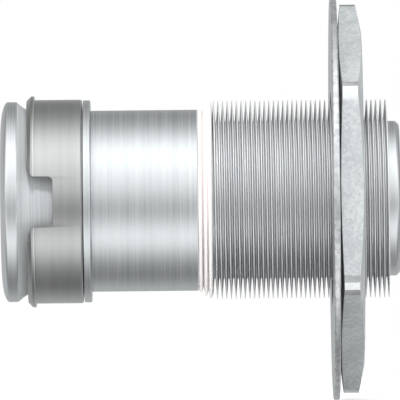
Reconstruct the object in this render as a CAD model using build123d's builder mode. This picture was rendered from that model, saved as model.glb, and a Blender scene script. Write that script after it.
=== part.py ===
from build123d import *
import os

# Through-hull fitting: a hollow threaded tube with an expansion end that passes through a blind
# hole, and a washer and nut that clamp from the near side. Millimetres, +Z up.
# +X runs along the fitting from the rounded head to the plain spigot. The origin is on the axis,
# in the plane of the washer's hull-side face.

# ---- driving dimensions -------------------------------------------------------------------------
thread_r = 32.0          # thread crest radius
pitch = 1.5              # thread pitch
root_r = 25.4            # thread root radius
barrel_r = 29.25         # smooth barrel that stands, with play, in the hull's hole
bore_r = 22.0            # water way
neck_r = 28.2            # neck that carries the stop ring and the expansion sleeve

head_len = 8.15          # rounded head, up to the sleeve
sleeve_len = 17.85       # expansion sleeve
ring_len = 2.4           # stop ring
barrel_len = 34.5        # smooth barrel
band_len = 4.7           # white seal band
thread_len = 56.8        # exposed thread
spigot_len = 3.6         # plain end past the thread
washer_len = 2.1         # washer thickness
nut_len = 7.6            # nut thickness
gap = 0.3                # working clearance between pieces that move past each other

washer_r = 65.0          # washer outside radius
nut_across_flats = 111.0
nut_corner_r = 7.0
nut_turn = 26.4          # rest angle of one nut corner above +Y

# ---- stations along X ---------------------------------------------------------------------------
head_x = -106.6                              # tip of the head
sleeve_x = head_x + head_len + gap
ring_x = sleeve_x + sleeve_len + gap
barrel_x = ring_x + ring_len
band_x = barrel_x + barrel_len
thread_x = band_x + band_len
spigot_x = thread_x + thread_len
end_x = spigot_x + spigot_len
nut_x = washer_len + gap

# ---- thread form --------------------------------------------------------------------------------
ridge_foot = 0.60        # half width of a ridge at the root
ridge_tip = 0.06         # half width of a ridge at the crest
ridge_count = int(thread_len / pitch)
bore_chamfer = 0.8       # lead-in on both faces of the nut

# ---- head, and the screw joint between it and the neck ------------------------------------------
head_r = 32.3
rim_r = 23.4             # rounded rim round the bore
nose_len = 2.4           # nose curve, from the rim out to the full radius
flare_x = head_x + 4.8   # where the full radius ends and the curved cone begins
seat_r = 25.4            # neck end that the head screws over
seat_x = head_x + 2.5    # end of the neck, behind the head's front lip
cone_end_x = head_x + 17.4
joint_play = 0.03        # radial play in the screwed joint
groove_depth = 1.3       # O-ring groove
groove_len = 2.0
groove_x = seat_x + 2.0

# ---- expansion sleeve ---------------------------------------------------------------------------
sleeve_r = 32.9
lip_r = 34.1             # flared lip at the open end, the widest piece that enters the hull's hole
lip_len = 2.7
crest_len = 1.0          # flat crest of the lip
crest_drop = 0.2         # short slope from the crest down to the sleeve
mouth_r = 30.3           # inside radius at the lip, clear of the curved cone
slot_len = 8.5           # finger slots, measured from the lip
slot_half = 8.1          # half width of a slot
mouth_len = 2.3          # rounded finger corners: length along X
mouth_half = 16.0        # and half width of the slot at the lip
slot_angles = (0, 120, 240)

# ---- threaded body: neck, barrel, thread and spigot in one hollow piece -------------------------
with BuildPart() as threaded_body:
    with BuildSketch(Plane.XZ):
        with BuildLine():
            # the thread is drawn as one closed ridge for each turn
            ridges = []
            for turn in range(ridge_count):
                middle = thread_x + (turn + 0.5) * pitch
                ridges += [(middle - ridge_foot, root_r), (middle - ridge_tip, thread_r)]
                ridges += [(middle + ridge_tip, thread_r), (middle + ridge_foot, root_r)]
            Polyline(
                (seat_x, bore_r), (seat_x, seat_r - 0.5), (seat_x + 0.5, seat_r),
                (groove_x, seat_r), (groove_x, seat_r - groove_depth),
                (groove_x + groove_len, seat_r - groove_depth), (groove_x + groove_len, seat_r),
                (cone_end_x, seat_r), (cone_end_x, neck_r), (barrel_x, neck_r),
                (barrel_x, barrel_r - 0.3), (barrel_x + 0.3, barrel_r), (band_x, barrel_r),
                (band_x, root_r + 1.2), (thread_x, root_r + 1.2), (thread_x, root_r), *ridges,
                (spigot_x, root_r), (spigot_x, root_r - 0.4), (end_x - 1.2, root_r - 0.4),
                (end_x, root_r - 1.6), (end_x, bore_r), close=True,
            )
        make_face()
    revolve(axis=Axis.X)

# ---- cone head: rounded nose and curved cone in one ring that screws over the neck's end --------
with BuildPart() as cone_head:
    with BuildSketch(Plane.XZ):
        with BuildLine():
            nose = EllipticalCenterArc(
                (head_x + nose_len, rim_r), nose_len, head_r - rim_r, start_angle=90, arc_size=90
            )
            cone = Bezier(
                (flare_x, head_r), (flare_x + 1.4, head_r), (cone_end_x - 10.4, neck_r),
                (cone_end_x, neck_r),
            )
            Line(nose @ 0, cone @ 0)
            Polyline(
                cone @ 1, (cone_end_x, seat_r + joint_play), (seat_x, seat_r + joint_play),
                (seat_x, bore_r), (head_x + 1.0, bore_r), nose @ 1,
            )
        make_face()
    revolve(axis=Axis.X)

# ---- head seal: O-ring in the neck's groove, under the head -------------------------------------
with BuildPart() as head_seal:
    with BuildSketch(Plane.XZ):
        with Locations((groove_x + groove_len / 2, seat_r - groove_depth / 2)):
            Ellipse(groove_len / 2, groove_depth / 2)
    revolve(axis=Axis.X)

# ---- expansion sleeve: three fingers with a flared lip ------------------------------------------
crest_x = sleeve_x + lip_len - crest_drop - crest_len
with BuildPart() as expansion_sleeve:
    with BuildSketch(Plane.XZ):
        with BuildLine():
            Polyline(
                (sleeve_x, mouth_r), (cone_end_x, neck_r + gap),
                (sleeve_x + sleeve_len, neck_r + gap), (sleeve_x + sleeve_len, sleeve_r - 0.4),
                (sleeve_x + sleeve_len - 0.4, sleeve_r), (sleeve_x + lip_len, sleeve_r),
                (crest_x + crest_len, lip_r), (crest_x, lip_r),
                (sleeve_x + 0.3, sleeve_r), (sleeve_x, sleeve_r - 0.4), close=True,
            )
        make_face()
    revolve(axis=Axis.X)
    for angle in slot_angles:
        with BuildSketch(Plane.XZ.rotated((angle, 0, 0))) as slot:
            with BuildLine():
                corner = EllipticalCenterArc(
                    (sleeve_x + mouth_len, mouth_half), mouth_len, mouth_half - slot_half,
                    start_angle=180, arc_size=90,
                )
                Polyline(
                    corner @ 1, (sleeve_x + slot_len, slot_half),
                    (sleeve_x + slot_len, -slot_half), (sleeve_x + mouth_len, -slot_half),
                )
                EllipticalCenterArc(
                    (sleeve_x + mouth_len, -mouth_half), mouth_len, mouth_half - slot_half,
                    start_angle=90, arc_size=90,
                )
                Polyline(
                    (sleeve_x, -mouth_half), (sleeve_x - 1, -mouth_half),
                    (sleeve_x - 1, mouth_half), (sleeve_x, mouth_half),
                )
            make_face()
            fillet(slot.vertices().sort_by(Axis.X)[-2:], radius=1.6)
        extrude(amount=lip_r + 5, mode=Mode.SUBTRACT)

# ---- stop ring: backs the sleeve against the barrel's shoulder ----------------------------------
with BuildPart() as stop_ring:
    with BuildSketch(Plane.YZ.offset(ring_x)):
        Circle(thread_r + 0.65)
        Circle(neck_r, mode=Mode.SUBTRACT)
    extrude(amount=ring_len)
    fillet(stop_ring.edges().filter_by(GeomType.CIRCLE).group_by(SortBy.RADIUS)[-1], radius=0.4)

# ---- seal band: soft white ring over the thread's run-out, with rising ridges -------------------
with BuildPart() as seal_band:
    ridge_tops = (thread_r - 2.2, thread_r - 1.0, thread_r - 0.2)
    ridge_step = band_len / len(ridge_tops)
    with BuildSketch(Plane.XZ):
        with BuildLine():
            points = [(band_x, root_r + 1.2), (band_x, barrel_r - 0.6)]
            for number, top in enumerate(ridge_tops):
                middle = band_x + (number + 0.5) * ridge_step
                points += [(middle - 0.25, top), (middle + 0.25, top)]
                points += [(middle + ridge_step / 2, top - 2.0)]
            points += [(thread_x, root_r + 1.2)]
            Polyline(*points, close=True)
        make_face()
    revolve(axis=Axis.X)

# ---- washer and the seal ring bonded into its hole ----------------------------------------------
with BuildPart() as flange_washer:
    with BuildSketch(Plane.YZ):
        Circle(washer_r)
        Circle(thread_r + 2.6, mode=Mode.SUBTRACT)
    extrude(amount=washer_len)
    fillet(flange_washer.edges().filter_by(GeomType.CIRCLE).group_by(SortBy.RADIUS)[-1], radius=0.6)

with BuildPart() as washer_seal:
    with BuildSketch(Plane.YZ):
        Circle(thread_r + 2.6)
        Circle(thread_r + gap, mode=Mode.SUBTRACT)
    extrude(amount=washer_len)

# ---- hexagon nut: chamfered faces, rounded corners, bore just over the thread's crests ----------
with BuildPart() as hex_nut:
    with BuildSketch(Plane.YZ.offset(nut_x)) as hexagon:
        RegularPolygon(nut_across_flats / 2, 6, major_radius=False, rotation=nut_turn)
        fillet(hexagon.vertices(), radius=nut_corner_r)
    extrude(amount=nut_len)
    with BuildSketch(Plane.XZ):
        with BuildLine():
            Polyline(
                (nut_x, 0), (nut_x, nut_across_flats / 2 - 1.5), (nut_x + 1.0, washer_r - 1.0),
                (nut_x + nut_len - 2.0, washer_r - 1.0),
                (nut_x + nut_len, nut_across_flats / 2 - 1.5), (nut_x + nut_len, 0), close=True,
            )
        make_face()
    revolve(axis=Axis.X, mode=Mode.INTERSECT)
    with BuildSketch(Plane.YZ.offset(nut_x)):
        Circle(thread_r + gap)
    extrude(amount=nut_len, mode=Mode.SUBTRACT)
    chamfer(hex_nut.edges().filter_by(GeomType.CIRCLE).group_by(SortBy.RADIUS)[0], bore_chamfer)

# ---- write one file per piece -------------------------------------------------------------------
pieces = {
    "threaded_body": threaded_body,
    "cone_head": cone_head,
    "head_seal": head_seal,
    "expansion_sleeve": expansion_sleeve,
    "stop_ring": stop_ring,
    "seal_band": seal_band,
    "flange_washer": flange_washer,
    "washer_seal": washer_seal,
    "hex_nut": hex_nut,
}
os.makedirs("parts", exist_ok=True)
for name, piece in pieces.items():
    piece.part.label = name
    export_step(piece.part, f"parts/{name}.step")
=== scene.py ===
import math

import bpy
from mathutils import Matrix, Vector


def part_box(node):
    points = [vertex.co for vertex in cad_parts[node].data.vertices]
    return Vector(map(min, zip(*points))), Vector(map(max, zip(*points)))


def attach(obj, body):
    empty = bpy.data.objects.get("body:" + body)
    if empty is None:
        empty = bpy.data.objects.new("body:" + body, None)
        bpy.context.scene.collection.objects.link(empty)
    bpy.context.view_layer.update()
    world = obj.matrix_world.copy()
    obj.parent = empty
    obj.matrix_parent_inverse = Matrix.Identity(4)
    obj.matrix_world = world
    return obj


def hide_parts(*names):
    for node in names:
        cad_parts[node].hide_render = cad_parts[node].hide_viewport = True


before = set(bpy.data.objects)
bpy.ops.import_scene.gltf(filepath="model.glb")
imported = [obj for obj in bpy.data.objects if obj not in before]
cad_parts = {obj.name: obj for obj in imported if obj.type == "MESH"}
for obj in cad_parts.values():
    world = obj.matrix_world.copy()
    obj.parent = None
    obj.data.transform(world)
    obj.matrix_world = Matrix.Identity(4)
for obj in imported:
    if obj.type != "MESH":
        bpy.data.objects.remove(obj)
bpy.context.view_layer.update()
mm = 0.001
print("frame loaded:", len(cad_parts), "CAD nodes")


# ---------- stations along the fitting, read from the frame ----------

def span(node):
    low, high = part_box(node)
    return low.x, high.x


def radiusOf(node):
    low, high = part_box(node)
    return (high.z - low.z) / 2


headX = span("cone_head")[0]
coneEndX = span("cone_head")[1]
sleeveX, sleeveEndX = span("expansion_sleeve")
ringX, ringEndX = span("stop_ring")
bandX, bandEndX = span("seal_band")
washerX, washerEndX = span("flange_washer")
nutX, nutEndX = span("hex_nut")
neckX, endX = span("threaded_body")

headR = radiusOf("cone_head")
ringR = radiusOf("stop_ring")
washerR = radiusOf("flange_washer")
sealR = radiusOf("washer_seal")
threadR = radiusOf("threaded_body")

# sizes that the frame's boxes don't show, as the part's source gives them
fit = {
    "boreR": 22.0 * mm,
    "seatR": 25.4 * mm,       # neck end inside the head
    "neckR": 28.2 * mm,       # neck under the ring and sleeve
    "barrelR": 29.25 * mm,
    "rootR": 25.4 * mm,       # thread root
    "spigotR": 25.0 * mm,
    "spigotLen": 3.6 * mm,
    "sleeveR": 32.9 * mm,
    "pitch": 1.5 * mm,
    "ridgeFoot": 0.60 * mm,   # half width of a ridge at the root
    "ridgeTip": 0.10 * mm,    # and at the crest, which is worn a little flat
    "gap": 0.3 * mm,
}
spigotX = endX - fit["spigotLen"]

# how close two points count as one, in metres
weld = {
    "ring": 1e-6,
    "cut": 2e-6,       # after a cut; well under one step of the thread's helix, 12.5e-6
    "nut": 5e-6,
    "loops": 5e-5,     # how far from a station an open loop may lie
}


# ---------- modelling helpers ----------

def editOn(obj):
    bpy.ops.object.select_all(action="DESELECT")
    bpy.context.view_layer.objects.active = obj
    obj.select_set(True)
    bpy.ops.object.mode_set(mode="EDIT")


def editOff():
    bpy.ops.object.mode_set(mode="OBJECT")


def selectOnly(obj):
    bpy.ops.object.select_all(action="DESELECT")
    bpy.context.view_layer.objects.active = obj
    obj.select_set(True)


def applyPlace(obj):
    selectOnly(obj)
    bpy.ops.object.transform_apply(location=True, rotation=True, scale=True)


def applyModifier(obj, kind, **settings):
    selectOnly(obj)
    mod = obj.modifiers.new(kind.title(), kind)
    for key, value in settings.items():
        setattr(mod, key, value)
    bpy.ops.object.modifier_apply(modifier=mod.name)


def closeAndTurnOut(obj, merge=weld["ring"]):
    editOn(obj)
    bpy.ops.mesh.select_all(action="SELECT")
    bpy.ops.mesh.remove_doubles(threshold=merge)
    bpy.ops.mesh.normals_make_consistent(inside=False)
    editOff()


def softEdges(obj, width, segments=3, angle=24):
    # small rounded edges, so that every corner catches a thin light
    applyModifier(obj, "BEVEL", width=width, segments=segments, limit_method="ANGLE",
                  angle_limit=math.radians(angle), harden_normals=False, use_clamp_overlap=True)


def smooth(obj, angle=32):
    selectOnly(obj)
    bpy.ops.object.shade_smooth_by_angle(angle=math.radians(angle))


def turned(name, profile, sides=192, closed=True):
    # a ring on the lathe: the first ring is a circle, and each next one is extruded and scaled
    x, r = profile[0]
    bpy.ops.object.select_all(action="DESELECT")
    bpy.ops.mesh.primitive_circle_add(vertices=sides, radius=r, fill_type="NOTHING",
                                      location=(x, 0, 0), rotation=(0, math.pi / 2, 0))
    obj = bpy.context.active_object
    obj.name = name
    applyPlace(obj)
    editOn(obj)
    bpy.ops.mesh.select_all(action="SELECT")
    for nextX, nextR in profile[1:]:
        bpy.ops.mesh.extrude_region_move(TRANSFORM_OT_translate={"value": (nextX - x, 0, 0)})
        bpy.ops.transform.resize(value=(1, nextR / r, nextR / r), center_override=(nextX, 0, 0))
        x, r = nextX, nextR
    if closed:
        bpy.ops.mesh.select_all(action="DESELECT")
        bpy.ops.mesh.select_non_manifold(extend=False, use_wire=False, use_multi_face=False,
                                         use_non_contiguous=False, use_verts=False)
        bpy.ops.mesh.bridge_edge_loops()
    editOff()
    if closed:
        closeAndTurnOut(obj)
    return obj


def arcPoints(centre, size, start, stop, count):
    # points of a quarter-round or other arc, with its own radius along X and across
    points = []
    for step in range(count + 1):
        angle = math.radians(start + (stop - start) * step / count)
        points.append((centre[0] + size[0] * math.cos(angle), centre[1] + size[1] * math.sin(angle)))
    return points


def curvePoints(start, startHandle, stopHandle, stop, count):
    # points along one Bezier curve with two handles
    points = []
    for step in range(count + 1):
        t = step / count
        shares = ((1 - t) ** 3, 3 * (1 - t) ** 2 * t, 3 * (1 - t) * t ** 2, t ** 3)
        places = zip(shares, (start, startHandle, stopHandle, stop))
        moved = [(share * x, share * r) for share, (x, r) in places]
        points.append((sum(x for x, r in moved), sum(r for x, r in moved)))
    return points


def finishPiece(obj, node, body, material, keepFaces=False):
    # keepFaces leaves the faces on the materials that they already have
    if not keepFaces:
        obj.data.materials.clear()
        obj.data.materials.append(material)
    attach(obj, body)
    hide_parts(node)


# ---------- shared effects, as node groups ----------

def newGroup(name, inputs, outputs):
    group = bpy.data.node_groups.new(name, "ShaderNodeTree")
    for label, value in inputs.items():
        socket = group.interface.new_socket(label, in_out="INPUT", socket_type="NodeSocketFloat")
        socket.default_value = value
    for label in outputs:
        group.interface.new_socket(label, in_out="OUTPUT", socket_type="NodeSocketFloat")
    return group, group.nodes.new("NodeGroupInput"), group.nodes.new("NodeGroupOutput")


def addNode(tree, kind, **settings):
    node = tree.nodes.new(kind)
    for key, value in settings.items():
        setattr(node, key, value)
    return node


def buildTurnedLines():
    # fine tool lines that run round the axis: they change quickly along X and slowly around
    group, inside, outside = newGroup("turnedLines", {"Fine": 2600.0, "Coarse": 520.0},
                                      ["Lines", "Bands"])
    coords = addNode(group, "ShaderNodeTexCoord")
    split = addNode(group, "ShaderNodeSeparateXYZ")
    group.links.new(coords.outputs["Object"], split.inputs[0])
    for label, output, around in (("Fine", "Lines", 14.0), ("Coarse", "Bands", 5.0)):
        alongX = addNode(group, "ShaderNodeMath", operation="MULTIPLY")
        group.links.new(split.outputs["X"], alongX.inputs[0])
        group.links.new(inside.outputs[label], alongX.inputs[1])
        join = addNode(group, "ShaderNodeCombineXYZ")
        group.links.new(alongX.outputs[0], join.inputs["X"])
        for axis in ("Y", "Z"):
            across = addNode(group, "ShaderNodeMath", operation="MULTIPLY")
            across.inputs[1].default_value = around
            group.links.new(split.outputs[axis], across.inputs[0])
            group.links.new(across.outputs[0], join.inputs[axis])
        noise = addNode(group, "ShaderNodeTexNoise", noise_dimensions="3D")
        noise.inputs["Scale"].default_value = 1.0
        noise.inputs["Detail"].default_value = 3.0
        group.links.new(join.outputs[0], noise.inputs["Vector"])
        group.links.new(noise.outputs["Fac"], outside.inputs[output])
    return group


def buildSpeckle():
    # spangled plating: small crystals and a slow cloud
    group, inside, outside = newGroup("speckle", {"Grain": 900.0, "Cloud": 45.0}, ["Speckle", "Clouds"])
    coords = addNode(group, "ShaderNodeTexCoord")
    grain = addNode(group, "ShaderNodeTexVoronoi", feature="F1")
    cloud = addNode(group, "ShaderNodeTexNoise")
    cloud.inputs["Detail"].default_value = 5.0
    tone = addNode(group, "ShaderNodeSeparateColor")
    group.links.new(coords.outputs["Object"], grain.inputs["Vector"])
    group.links.new(coords.outputs["Object"], cloud.inputs["Vector"])
    group.links.new(inside.outputs["Grain"], grain.inputs["Scale"])
    group.links.new(inside.outputs["Cloud"], cloud.inputs["Scale"])
    group.links.new(grain.outputs["Color"], tone.inputs[0])
    group.links.new(tone.outputs[0], outside.inputs["Speckle"])
    group.links.new(cloud.outputs["Fac"], outside.inputs["Clouds"])
    return group


turnedLines = buildTurnedLines()
speckle = buildSpeckle()


def groupNode(tree, group, **values):
    node = addNode(tree, "ShaderNodeGroup")
    node.node_tree = group
    for label, value in values.items():
        node.inputs[label].default_value = value
    return node


def mixTone(tree, source, dark, light, low=0.35, high=0.65):
    # a colour that runs from dark to light with a mask
    ramp = addNode(tree, "ShaderNodeValToRGB")
    ramp.color_ramp.elements[0].position = low
    ramp.color_ramp.elements[0].color = (*dark, 1)
    ramp.color_ramp.elements[1].position = high
    ramp.color_ramp.elements[1].color = (*light, 1)
    tree.links.new(source, ramp.inputs[0])
    return ramp.outputs[0]


def mapValue(tree, source, low, high):
    # stretches a 0 to 1 mask to the wanted range
    node = addNode(tree, "ShaderNodeMapRange")
    node.inputs["From Min"].default_value = 0.3
    node.inputs["From Max"].default_value = 0.7
    node.inputs["To Min"].default_value = low
    node.inputs["To Max"].default_value = high
    tree.links.new(source, node.inputs["Value"])
    return node.outputs[0]


def addBump(tree, shader, height, strength, distance):
    bump = addNode(tree, "ShaderNodeBump")
    bump.inputs["Strength"].default_value = strength
    bump.inputs["Distance"].default_value = distance
    tree.links.new(height, bump.inputs["Height"])
    tree.links.new(bump.outputs[0], shader.inputs["Normal"])


def newMaterial(name):
    material = bpy.data.materials.new(name)
    material.use_nodes = True
    tree = material.node_tree
    return material, tree, tree.nodes["Principled BSDF"]


def turnedMetal(name, dark, light, rough, fine, coarse, bump, metallic=1.0):
    material, tree, shader = newMaterial(name)
    lines = groupNode(tree, turnedLines, Fine=fine, Coarse=coarse)
    blend = addNode(tree, "ShaderNodeMath", operation="MULTIPLY_ADD")
    blend.inputs[1].default_value = 0.6
    tree.links.new(lines.outputs["Lines"], blend.inputs[0])
    part = addNode(tree, "ShaderNodeMath", operation="MULTIPLY")
    part.inputs[1].default_value = 0.4
    tree.links.new(lines.outputs["Bands"], part.inputs[0])
    tree.links.new(part.outputs[0], blend.inputs[2])
    tree.links.new(mixTone(tree, blend.outputs[0], dark, light), shader.inputs["Base Color"])
    tree.links.new(mapValue(tree, lines.outputs["Lines"], *rough), shader.inputs["Roughness"])
    addBump(tree, shader, lines.outputs["Lines"], bump, 0.0001)
    shader.inputs["Metallic"].default_value = metallic
    return material


def platedMetal(name, dark, light, rough, grain, cloud, bump, metallic=1.0):
    material, tree, shader = newMaterial(name)
    spots = groupNode(tree, speckle, Grain=grain, Cloud=cloud)
    blend = addNode(tree, "ShaderNodeMath", operation="MULTIPLY_ADD")
    blend.inputs[1].default_value = 0.35
    tree.links.new(spots.outputs["Speckle"], blend.inputs[0])
    part = addNode(tree, "ShaderNodeMath", operation="MULTIPLY")
    part.inputs[1].default_value = 0.65
    tree.links.new(spots.outputs["Clouds"], part.inputs[0])
    tree.links.new(part.outputs[0], blend.inputs[2])
    tree.links.new(mixTone(tree, blend.outputs[0], dark, light), shader.inputs["Base Color"])
    tree.links.new(mapValue(tree, spots.outputs["Clouds"], *rough), shader.inputs["Roughness"])
    addBump(tree, shader, spots.outputs["Speckle"], bump, 0.0001)
    shader.inputs["Metallic"].default_value = metallic
    return material


def softPolymer(name, dark, light, rough, fine):
    material, tree, shader = newMaterial(name)
    lines = groupNode(tree, turnedLines, Fine=fine, Coarse=fine / 5)
    tree.links.new(mixTone(tree, lines.outputs["Bands"], dark, light), shader.inputs["Base Color"])
    tree.links.new(mapValue(tree, lines.outputs["Lines"], *rough), shader.inputs["Roughness"])
    addBump(tree, shader, lines.outputs["Lines"], 0.15, 0.0001)
    return material


finishes = {
    "turnedSteel": turnedMetal("turnedSteel", (0.72, 0.75, 0.76), (0.90, 0.915, 0.925), (0.22, 0.36),
                               2600, 420, 0.35),
    # painted shade: a darker, mostly diffuse copy of the steel for the neck and the head's cone, set
    # darker to stand in for shade in the slots' recess
    "neckSteelPaintedShade": turnedMetal("neckSteelPaintedShade", (0.37, 0.39, 0.40), (0.49, 0.505, 0.51), (0.28, 0.40),
                             2000, 300, 0.2, metallic=0.2),
    # painted light: a lighter, less metallic copy of the steel for the thread, set bright to offset the
    # shade in its deep grooves
    "threadSteelPaintedLight": turnedMetal("threadSteelPaintedLight", (0.88, 0.90, 0.91), (0.99, 0.99, 0.99), (0.22, 0.46),
                               900, 260, 0.2, metallic=0.68),
    "sleeveSteel": turnedMetal("sleeveSteel", (0.53, 0.525, 0.52), (0.61, 0.605, 0.60), (0.14, 0.22),
                               500, 90, 0.07),
    # painted shade: a darker copy of the sleeve steel for the flared lip, standing in for the shade on
    # it
    "lipSteelPaintedShade": turnedMetal("lipSteelPaintedShade", (0.44, 0.44, 0.435), (0.54, 0.54, 0.535), (0.14, 0.24),
                            500, 90, 0.07),
    # painted shade: a dark copy of the steel for the slots' cut walls, standing in for the shadow under
    # each finger
    "cutEdgePaintedShade": turnedMetal("cutEdgePaintedShade", (0.26, 0.26, 0.26), (0.36, 0.36, 0.355), (0.30, 0.45),
                           600, 150, 0.2),
    "washerZinc": platedMetal("washerZinc", (0.63, 0.65, 0.66), (0.85, 0.86, 0.87), (0.24, 0.38),
                              700, 60, 0.2, metallic=0.95),
    "nutZinc": platedMetal("nutZinc", (0.68, 0.71, 0.72), (0.83, 0.85, 0.855), (0.50, 0.62),
                           1100, 80, 0.25, metallic=0.84),
    # painted highlight: a brighter, glossier copy of the plating for the nut's rounded corners
    "nutCornerHighlight": platedMetal("nutCornerHighlight", (0.86, 0.88, 0.885), (0.97, 0.975, 0.98), (0.12, 0.20),
                             1100, 80, 0.1),
    "bandPolymer": softPolymer("bandPolymer", (0.80, 0.76, 0.745), (0.90, 0.88, 0.87),
                               (0.42, 0.58), 1500),
    "sealRubber": softPolymer("sealRubber", (0.020, 0.020, 0.021), (0.040, 0.040, 0.042),
                              (0.55, 0.75), 900),
}
print("materials made:", len(finishes))


# ---------- thread: one helical strip, cut square at both ends ----------

def helicalStrip(name, startX, stopX, rootR, crestR, foot, tip, steps=120):
    # one pitch of the outline is drawn from a single point; the Screw modifier winds it round X
    pitch = fit["pitch"]
    spare = 2
    turns = int((stopX - startX) / pitch) + 2 * spare
    phase = (spigotX - pitch / 2 - startX) / pitch
    firstX = startX + (phase - math.floor(phase)) * pitch - spare * pitch
    outline = [(-pitch / 2, rootR), (-foot, rootR), (-tip, crestR), (tip, crestR), (foot, rootR),
               (pitch / 2, rootR)]
    bpy.ops.object.select_all(action="DESELECT")
    bpy.ops.mesh.primitive_plane_add(size=pitch, location=(firstX, 0, rootR))
    obj = bpy.context.active_object
    obj.name = name
    applyPlace(obj)
    editOn(obj)
    bpy.ops.mesh.select_all(action="SELECT")
    bpy.ops.mesh.merge(type="CENTER")
    bpy.ops.transform.translate(value=(outline[0][0], 0, 0))
    last = outline[0]
    for point in outline[1:]:
        bpy.ops.mesh.extrude_vertices_move(
            TRANSFORM_OT_translate={"value": (point[0] - last[0], 0, point[1] - last[1])})
        last = point
    editOff()
    applyModifier(obj, "SCREW", axis="X", angle=2 * math.pi, screw_offset=pitch, iterations=turns,
                  steps=steps, render_steps=steps, use_merge_vertices=True, merge_threshold=weld["ring"],
                  use_normal_calculate=False)
    # weld each turn to the next, so that the cuts leave two plain loops
    editOn(obj)
    bpy.ops.mesh.select_all(action="SELECT")
    bpy.ops.mesh.remove_doubles(threshold=weld["cut"])
    editOff()
    for cutX, outer, inner in ((startX, False, True), (stopX, True, False)):
        editOn(obj)
        bpy.ops.mesh.select_all(action="SELECT")
        bpy.ops.mesh.bisect(plane_co=(cutX, 0, 0), plane_no=(1, 0, 0), use_fill=False,
                            clear_inner=inner, clear_outer=outer, threshold=weld["cut"])
        editOff()
    return obj


def joinObjects(target, others):
    bpy.ops.object.select_all(action="DESELECT")
    for other in others:
        other.select_set(True)
    target.select_set(True)
    bpy.context.view_layer.objects.active = target
    bpy.ops.object.join()
    return target


def bridgeAt(obj, x, reach=weld["loops"]):
    # joins the two open loops that lie close together at one station on the axis
    editOn(obj)
    bpy.ops.mesh.select_all(action="DESELECT")
    bpy.ops.mesh.select_non_manifold(extend=False, use_wire=False, use_multi_face=False,
                                     use_non_contiguous=False, use_verts=False)
    editOff()
    mesh = obj.data
    for edge in mesh.edges:
        a, b = (mesh.vertices[index].co.x for index in edge.vertices)
        if edge.select and (abs(a - x) > reach or abs(b - x) > reach):
            edge.select = False
    keep = {index for edge in mesh.edges if edge.select for index in edge.vertices}
    for vertex in mesh.vertices:
        vertex.select = vertex.index in keep
    for face in mesh.polygons:
        face.select = False
    bpy.ops.object.mode_set(mode="EDIT")
    bpy.ops.mesh.select_mode(type="EDGE")
    bpy.ops.mesh.bridge_edge_loops()
    bpy.ops.mesh.select_mode(type="VERT")
    editOff()


# ---------- the threaded body ----------

bodyLook = {
    "sides": 120,
    "shoulderRound": 0.35 * mm,
    "spigotChamfer": 1.2 * mm,
    "threadStep": 0.02 * mm,     # axial step between the tube and the thread's end loops
    "bandSeat": 1.2 * mm,        # how far the band's seat stands above the thread root
    "outside": 1.05,             # a face beyond this many bore radii is on the outside
}


def makeBody():
    look = bodyLook
    seat = fit["rootR"] + look["bandSeat"]
    outline = [
        (bandEndX - look["threadStep"], seat), (bandX, seat), (bandX, fit["barrelR"]),
        (ringEndX, fit["barrelR"]), (ringEndX, fit["neckR"]), (coneEndX, fit["neckR"]),
        (coneEndX, fit["seatR"]),
        (neckX, fit["seatR"]), (neckX, fit["boreR"]), (endX, fit["boreR"]),
        (endX, fit["spigotR"] - look["spigotChamfer"]), (endX - look["spigotChamfer"], fit["spigotR"]),
        (spigotX + look["threadStep"], fit["spigotR"]),
    ]
    body = turned("bodyTube", outline, sides=look["sides"], closed=False)
    softEdges(body, look["shoulderRound"])
    strip = helicalStrip("bodyThread", bandEndX, spigotX, fit["rootR"], threadR,
                         fit["ridgeFoot"], fit["ridgeTip"])
    body = joinObjects(body, [strip])
    bridgeAt(body, bandEndX)
    bridgeAt(body, spigotX)
    closeAndTurnOut(body)
    smooth(body, 30)
    finishPiece(body, "threaded_body", "body", finishes["turnedSteel"])
    thread, neck = 1, 2
    # the thread faces get the lightened thread steel, painted light that offsets the shade in the
    # grooves
    body.data.materials.append(finishes["threadSteelPaintedLight"])
    # the neck faces get the darker neck steel, painted shade for the recess that shows through the slots
    body.data.materials.append(finishes["neckSteelPaintedShade"])
    for face in body.data.polygons:
        alongThread = bandEndX < face.center.x < spigotX + look["threadStep"]
        outside = math.hypot(face.center.y, face.center.z) > fit["boreR"] * look["outside"]
        if alongThread and outside:
            face.material_index = thread
        elif face.center.x < ringX:
            face.material_index = neck
    return body


# ---------- head, seal, stop ring and band ----------

headLook = {
    "sides": 240,
    "noseLen": 2.4 * mm,       # nose curve, from the rim out to the full radius
    "rimR": 23.4 * mm,         # rounded rim round the bore
    "rimLen": 1.0 * mm,
    "flareX": 4.8 * mm,        # where the full radius ends and the curved cone begins
    "coneHandles": (1.4 * mm, 10.4 * mm),    # handle lengths of the cone's curve, front and back
    "lip": 2.5 * mm,           # front lip that covers the neck's end
    "joint": 0.03 * mm,        # radial play over the neck's end
    "edgeRound": 0.35 * mm,
}


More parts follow.
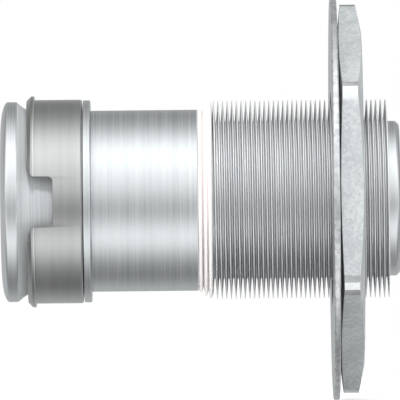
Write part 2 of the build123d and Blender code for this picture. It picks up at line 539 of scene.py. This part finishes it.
def makeHead():
    look = headLook
    inside = fit["seatR"] + look["joint"]
    profile = [(headX + look["lip"], fit["boreR"]), (headX + look["rimLen"], fit["boreR"])]
    profile += arcPoints((headX + look["rimLen"], look["rimR"]),
                         (look["rimLen"], look["rimR"] - fit["boreR"]), 270, 180, 6)[1:]
    profile += arcPoints((headX + look["noseLen"], look["rimR"]),
                         (look["noseLen"], headR - look["rimR"]), 180, 90, 18)[1:]
    flareX = headX + look["flareX"]
    front, back = look["coneHandles"]
    profile += curvePoints((flareX, headR), (flareX + front, headR), (coneEndX - back, fit["neckR"]),
                           (coneEndX, fit["neckR"]), 26)
    profile += [(coneEndX, inside), (headX + look["lip"], inside)]
    head = turned("coneHead", profile, sides=look["sides"])
    softEdges(head, look["edgeRound"])
    smooth(head, 35)
    finishPiece(head, "cone_head", "body", finishes["turnedSteel"])
    # the cone's faces take the darker neck steel, painted shade
    head.data.materials.append(finishes["neckSteelPaintedShade"])
    for face in head.data.polygons:
        if face.center.x > flareX + front / 2 and math.hypot(face.center.y, face.center.z) > inside:
            face.material_index = 1
    return head


headSealLook = {
    "sides": 160,
    "halfLen": 1.0 * mm,
    "halfDeep": 0.65 * mm,
}


def makeHeadSeal():
    # an O-ring, slightly squeezed in its groove
    look = headSealLook
    low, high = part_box("head_seal")
    centre = ((low.x + high.x) / 2, fit["seatR"] - look["halfDeep"])
    profile = arcPoints(centre, (look["halfLen"], look["halfDeep"]), 0, 345, 23)
    seal = turned("headSeal", profile, sides=look["sides"])
    smooth(seal, 60)
    finishPiece(seal, "head_seal", "body", finishes["sealRubber"])
    return seal


ringLook = {
    "sides": 240,
    "edgeRound": 0.35 * mm,
}


def makeStopRing():
    look = ringLook
    profile = [(ringX, fit["neckR"]), (ringX, ringR), (ringEndX, ringR), (ringEndX, fit["neckR"])]
    ring = turned("stopRing", profile, sides=look["sides"])
    softEdges(ring, look["edgeRound"])
    smooth(ring)
    finishPiece(ring, "stop_ring", "body", finishes["turnedSteel"])
    return ring


bandLook = {
    "sides": 240,
    "tops": (29.8, 31.0, 31.8),    # ridge tops, rising towards the thread, in mm
    "valley": 2.0,                 # depth of the dips between them, in mm
    "topHalf": 0.25 * mm,          # half width of a ridge top
    "innerR": 26.6 * mm,
    "startDrop": 0.6 * mm,         # how far the band starts below the barrel
    "edgeRound": 0.18 * mm,
}


def makeBand():
    look = bandLook
    tops = look["tops"]
    step = (bandEndX - bandX) / len(tops)
    profile = [(bandX, look["innerR"]), (bandX, fit["barrelR"] - look["startDrop"])]
    for number, top in enumerate(tops):
        middle = bandX + (number + 0.5) * step
        profile += [(middle - look["topHalf"], top * mm), (middle + look["topHalf"], top * mm)]
        profile += [(middle + step / 2, (top - look["valley"]) * mm)]
    profile += [(bandEndX, look["innerR"])]
    band = turned("sealBand", profile, sides=look["sides"])
    softEdges(band, look["edgeRound"])
    smooth(band, 50)
    finishPiece(band, "seal_band", "body", finishes["bandPolymer"])
    return band


# ---------- expansion sleeve ----------

sleeveLook = {
    "sides": 288,
    "lipLen": 2.7 * mm,
    "lipR": 34.1 * mm,
    "crestLen": 1.0 * mm,      # flat crest of the lip
    "crestDrop": 0.2 * mm,     # and its drop to the sleeve
    "mouthR": 30.3 * mm,       # inside radius at the lip
    "slotLen": 8.5 * mm,
    "slotHalf": 8.1 * mm,
    "mouthLen": 2.3 * mm,      # rounded finger corners
    "mouthHalf": 16.0 * mm,
    "slotAngles": (0, 120, 240),
    "slotCorner": 1.6 * mm,    # round in the slot's two inner corners
    "cutLead": 1 * mm,         # how far the cutter starts before the sleeve
    "cutDeep": 42 * mm,        # and how far it reaches out from the axis
    "edgeDrop": 0.4 * mm,      # chamfer at the sleeve's ends
    "lipStart": 0.3 * mm,
    "crestHighlightShare": 0.3,          # share of the crest that gets a painted highlight
    "edgeRound": 0.22 * mm,
}


def slotCutter(angle):
    # a slab with a flared mouth: a plane, extruded and narrowed in steps along a quarter ellipse
    look = sleeveLook
    deep = look["cutDeep"]
    corner = look["slotCorner"]
    startX = sleeveX - look["cutLead"]
    bpy.ops.object.select_all(action="DESELECT")
    bpy.ops.mesh.primitive_plane_add(size=1, location=(startX, -deep / 2, 0),
                                     rotation=(0, math.pi / 2, 0))
    cutter = bpy.context.active_object
    cutter.scale = (look["mouthHalf"] * 2, deep, 1)
    applyPlace(cutter)
    stations = [(sleeveX, look["mouthHalf"])]
    for x, half in arcPoints((sleeveX + look["mouthLen"], look["mouthHalf"]),
                             (look["mouthLen"], look["mouthHalf"] - look["slotHalf"]), 180, 270, 14)[1:]:
        stations.append((x, half))
    stations.append((sleeveX + look["slotLen"] - corner, look["slotHalf"]))
    for x, half in arcPoints((sleeveX + look["slotLen"] - corner, look["slotHalf"] - corner),
                             (corner, corner), 90, 4, 8)[1:]:
        stations.append((x, half))
    editOn(cutter)
    bpy.ops.mesh.select_all(action="SELECT")
    lastX, lastHalf = startX, look["mouthHalf"]
    for x, half in stations:
        bpy.ops.mesh.extrude_region_move(TRANSFORM_OT_translate={"value": (x - lastX, 0, 0)})
        bpy.ops.transform.resize(value=(1, 1, half / lastHalf), center_override=(x, 0, 0))
        lastX, lastHalf = x, half
    bpy.ops.mesh.select_all(action="SELECT")
    bpy.ops.mesh.normals_make_consistent(inside=False)
    editOff()
    cutter.rotation_euler = (math.radians(angle), 0, 0)
    applyPlace(cutter)
    return cutter


def makeSleeve():
    look = sleeveLook
    innerR = fit["neckR"] + fit["gap"]
    outerR = fit["sleeveR"]
    lipEnd = sleeveX + look["lipLen"]
    crestEnd = lipEnd - look["crestDrop"]
    crestX = crestEnd - look["crestLen"]
    crestHighlightX = crestEnd - look["crestLen"] * look["crestHighlightShare"]
    drop = look["edgeDrop"]
    profile = [(coneEndX, innerR), (sleeveX, look["mouthR"]), (sleeveX, outerR - drop),
               (sleeveX + look["lipStart"], outerR), (crestX, look["lipR"]), (crestHighlightX, look["lipR"]),
               (crestEnd, look["lipR"]), (lipEnd, outerR), (sleeveEndX - drop, outerR),
               (sleeveEndX, outerR - drop), (sleeveEndX, innerR)]
    sleeve = turned("expansionSleeve", profile, sides=look["sides"])
    sleeve.data.materials.append(finishes["sleeveSteel"])
    for angle in look["slotAngles"]:
        cutter = slotCutter(angle)
        # the cut walls take the dark painted shade material, which stands in for the shadow in the slots
        cutter.data.materials.append(finishes["cutEdgePaintedShade"])
        applyModifier(sleeve, "BOOLEAN", operation="DIFFERENCE", object=cutter, solver="EXACT",
                      material_mode="TRANSFER")
        bpy.data.objects.remove(cutter, do_unlink=True)
    closeAndTurnOut(sleeve, merge=weld["cut"])
    softEdges(sleeve, look["edgeRound"])
    smooth(sleeve, 35)
    # the lip's faces get the darker painted shade steel
    sleeve.data.materials.append(finishes["lipSteelPaintedShade"])
    lipShadeIndex = len(sleeve.data.materials) - 1
    crestHighlightIndex = lipShadeIndex + 1     # painted highlight: the crest's back edge gets the brighter body steel
    sleeve.data.materials.append(finishes["turnedSteel"])
    for face in sleeve.data.polygons:
        if face.material_index == 0 and face.center.x < crestHighlightX:
            face.material_index = lipShadeIndex
        # the rest of the crest, up to its back edge, gets the painted highlight
        elif face.material_index == 0 and face.center.x < crestEnd:
            face.material_index = crestHighlightIndex
    finishPiece(sleeve, "expansion_sleeve", "sleeve", finishes["sleeveSteel"],
                keepFaces=True)
    return sleeve


# ---------- washer, its bonded seal, and the nut ----------

washerLook = {
    "sides": 288,
    "edgeRound": 0.7 * mm,
    "sealSides": 240,
    "sealEdge": 0.2 * mm,
    "sealInset": 0.1 * mm,     # how far the seal is set back from each face
}


def makeWasher():
    look = washerLook
    profile = [(washerX, sealR), (washerX, washerR), (washerEndX, washerR), (washerEndX, sealR)]
    washer = turned("flangeWasher", profile, sides=look["sides"])
    softEdges(washer, look["edgeRound"], segments=5)
    smooth(washer)
    finishPiece(washer, "flange_washer", "washer", finishes["washerZinc"])
    startX, stopX = washerX + look["sealInset"], washerEndX - look["sealInset"]
    innerR = threadR + fit["gap"]
    profile = [(startX, innerR), (startX, sealR), (stopX, sealR), (stopX, innerR)]
    seal = turned("washerSeal", profile, sides=look["sealSides"])
    softEdges(seal, look["sealEdge"])
    smooth(seal)
    finishPiece(seal, "washer_seal", "washer", finishes["sealRubber"])
    return washer


nutLook = {
    "acrossFlats": 111.0 * mm,
    "turn": 26.4,              # degrees, one corner above +Y
    "cornerRound": 7.0 * mm,
    "cornerFlats": 3,
    "leftChamfer": 1.0 * mm,
    "rightChamfer": 2.0 * mm,
    "chamferR": 54.0 * mm,
    "blankR": 64.0 * mm,
    "holeR": 32.3 * mm,
    "leadIn": 0.8 * mm,
    "sides": 288,
    "holeSides": 180,
    "axisR": 1.0 * mm,         # the trimming blank stops this far from the axis
    "holeAxisR": 0.2 * mm,
    "edgeRound": 0.3 * mm,
}


def makeNut():
    look = nutLook
    length = nutEndX - nutX
    cornerR = look["acrossFlats"] / 2 / math.cos(math.radians(30))
    bpy.ops.object.select_all(action="DESELECT")
    bpy.ops.mesh.primitive_cylinder_add(vertices=6, radius=cornerR, depth=length, end_fill_type="NGON",
                                        location=((nutX + nutEndX) / 2, 0, 0),
                                        rotation=(0, math.pi / 2, 0))
    nut = bpy.context.active_object
    nut.name = "hexNut"
    applyPlace(nut)
    first = nut.data.vertices[0].co
    present = math.degrees(math.atan2(first.z, first.y))
    nut.rotation_euler = (math.radians(look["turn"] - present), 0, 0)
    applyPlace(nut)
    mesh = nut.data
    cornerWeights = mesh.attributes.new("bevel_weight_edge", "FLOAT", "EDGE")
    for edge in mesh.edges:
        a, b = (mesh.vertices[index].co for index in edge.vertices)
        cornerWeights.data[edge.index].value = 1.0 if abs(a.x - b.x) > length / 2 else 0.0
    # the bevel's width is measured from the edge along each flat
    width = look["cornerRound"] * math.tan(math.radians(30))
    applyModifier(nut, "BEVEL", width=width, segments=look["cornerFlats"], limit_method="WEIGHT")
    profile = [(nutX, look["axisR"]), (nutX, look["chamferR"]),
               (nutX + look["leftChamfer"], look["blankR"]),
               (nutEndX - look["rightChamfer"], look["blankR"]),
               (nutEndX, look["chamferR"]), (nutEndX, look["axisR"])]
    trim = turned("nutTrim", profile, sides=look["sides"])
    applyModifier(nut, "BOOLEAN", operation="INTERSECT", object=trim, solver="EXACT")
    bpy.data.objects.remove(trim, do_unlink=True)
    lead, holeR = look["leadIn"], look["holeR"]
    wide = holeR + lead * 2
    profile = [(nutX - lead, look["holeAxisR"]), (nutX - lead, wide), (nutX + lead, holeR),
               (nutEndX - lead, holeR), (nutEndX + lead, wide), (nutEndX + lead, look["holeAxisR"])]
    hole = turned("nutHole", profile, sides=look["holeSides"])
    applyModifier(nut, "BOOLEAN", operation="DIFFERENCE", object=hole, solver="EXACT")
    bpy.data.objects.remove(hole, do_unlink=True)
    closeAndTurnOut(nut, merge=weld["nut"])
    softEdges(nut, look["edgeRound"], angle=12)
    smooth(nut, 14)
    finishPiece(nut, "hex_nut", "nut", finishes["nutZinc"])
    nut.data.materials.append(finishes["nutCornerHighlight"])
    # painted highlight: the rounded corners get a brighter, glossier copy of the plating, standing in
    # for the bright bands on them
    halfSide = look["acrossFlats"] / 2 * math.tan(math.radians(30)) - width
    flatReach = 30 - math.degrees(math.atan2(halfSide, look["acrossFlats"] / 2))
    for face in nut.data.polygons:
        around = math.degrees(math.atan2(face.center.z, face.center.y)) - look["turn"]
        fromCorner = abs((around + 30) % 60 - 30)
        outside = math.hypot(face.center.y, face.center.z) > holeR + 3 * lead
        if outside and abs(face.normal.x) < 0.3 and fromCorner < flatReach:
            face.material_index = 1
    return nut


makeBody()
print("body made")
makeHead()
makeHeadSeal()
makeStopRing()
makeBand()
print("head, seal, ring and band made")
makeSleeve()
print("sleeve made")
makeWasher()
makeNut()
print("washer and nut made")


# ---------- floor, light and camera ----------

studio = {
    "floorDrop": 2 * mm,           # floor below the washer's rim
    "floorSize": 1.1,
    "floorTone": 0.93,
    "cameraFar": 3.4,
    "viewWide": 129.3 * mm,      # width of the view at the fitting's axis
    "viewMiddle": (-42.45 * mm, 0.05 * mm),
    "viewRoll": 0.6,            # degrees that the camera leans, so that the head sits a little low
    "roomLight": 1.35,
    # brightness of the room round the fitting's axis, in degrees: 0 is the front, 90 is overhead
    "roomTones": ((-180, 0.38), (-138, 0.34), (-106, 0.19), (-76, 0.40), (-46, 0.80), (-14, 0.38),
                  (10, 0.60), (38, 0.88), (64, 1.0), (88, 0.68), (108, 0.38), (140, 0.24), (180, 0.38)),
}


def makeFloor():
    size = studio["floorSize"]
    bpy.ops.object.select_all(action="DESELECT")
    bpy.ops.mesh.primitive_plane_add(size=size, location=(0, 0, -washerR - studio["floorDrop"]))
    floor = bpy.context.active_object
    floor.name = "floor"
    material, tree, shader = newMaterial("floorPaper")
    shader.inputs["Base Color"].default_value = (*[studio["floorTone"]] * 3, 1)
    shader.inputs["Roughness"].default_value = 0.9
    floor.data.materials.append(material)
    floor.visible_glossy = False


def addAreaLight(name, place, aim, size, power):
    bpy.ops.object.select_all(action="DESELECT")
    bpy.ops.object.light_add(type="AREA", location=place)
    light = bpy.context.active_object
    light.name = name
    light.data.shape = "RECTANGLE"
    light.data.size, light.data.size_y = size
    light.data.energy = power
    direction = [aim[i] - place[i] for i in range(3)]
    flat = math.hypot(direction[0], direction[1])
    light.rotation_euler = (math.atan2(flat, -direction[2]), 0, math.atan2(-direction[0], direction[1]))
    light.visible_glossy = False
    return light


def makeWorld():
    # a soft room that changes with the angle round X; what stands behind the object is plain white
    world = bpy.data.worlds.new("studio")
    bpy.context.scene.world = world
    world.use_nodes = True
    tree = world.node_tree
    coords = addNode(tree, "ShaderNodeTexCoord")
    split = addNode(tree, "ShaderNodeSeparateXYZ")
    tree.links.new(coords.outputs["Generated"], split.inputs[0])
    front = addNode(tree, "ShaderNodeMath", operation="MULTIPLY")
    front.inputs[1].default_value = -1
    tree.links.new(split.outputs["Y"], front.inputs[0])
    angle = addNode(tree, "ShaderNodeMath", operation="ARCTAN2")
    tree.links.new(split.outputs["Z"], angle.inputs[0])
    tree.links.new(front.outputs[0], angle.inputs[1])
    share = addNode(tree, "ShaderNodeMapRange")
    share.inputs["From Min"].default_value = -math.pi
    share.inputs["From Max"].default_value = math.pi
    tree.links.new(angle.outputs[0], share.inputs["Value"])
    tones = addNode(tree, "ShaderNodeValToRGB")
    ramp = tones.color_ramp
    ramp.interpolation = "CARDINAL"
    while len(ramp.elements) < len(studio["roomTones"]):
        ramp.elements.new(0.5)
    for element, (degrees, tone) in zip(ramp.elements, studio["roomTones"]):
        element.position = (degrees + 180) / 360
        element.color = (tone * 0.97, tone * 0.99, tone, 1)
    tree.links.new(share.outputs[0], tones.inputs[0])
    room = tree.nodes["Background"]
    room.inputs["Strength"].default_value = studio["roomLight"]
    tree.links.new(tones.outputs[0], room.inputs["Color"])
    backdrop = addNode(tree, "ShaderNodeBackground")
    backdrop.inputs["Color"].default_value = (1, 1, 1, 1)
    mix = addNode(tree, "ShaderNodeMixShader")
    path = addNode(tree, "ShaderNodeLightPath")
    tree.links.new(path.outputs["Is Camera Ray"], mix.inputs[0])
    tree.links.new(room.outputs[0], mix.inputs[1])
    tree.links.new(backdrop.outputs[0], mix.inputs[2])
    tree.links.new(mix.outputs[0], tree.nodes["World Output"].inputs[0])


def makeCamera():
    data = bpy.data.cameras.new("camera")
    camera = bpy.data.objects.new("camera", data)
    bpy.context.scene.collection.objects.link(camera)
    data.sensor_width = 36
    data.lens = data.sensor_width * studio["cameraFar"] / studio["viewWide"]
    camera.location = (studio["viewMiddle"][0], -studio["cameraFar"], studio["viewMiddle"][1])
    camera.rotation_euler = (math.pi / 2, math.radians(studio["viewRoll"]), 0)
    bpy.context.scene.camera = camera


makeFloor()
middle = (studio["viewMiddle"][0], 0, 0)
addAreaLight("topSoft", (middle[0], -0.5, 1.3), middle, (2.2, 1.6), 5)
addAreaLight("keyLight", (middle[0], -0.9, 1.1), middle, (0.2, 0.2), 18)
makeWorld()
makeCamera()
bpy.context.scene.view_settings.view_transform = "Standard"
print("studio ready")
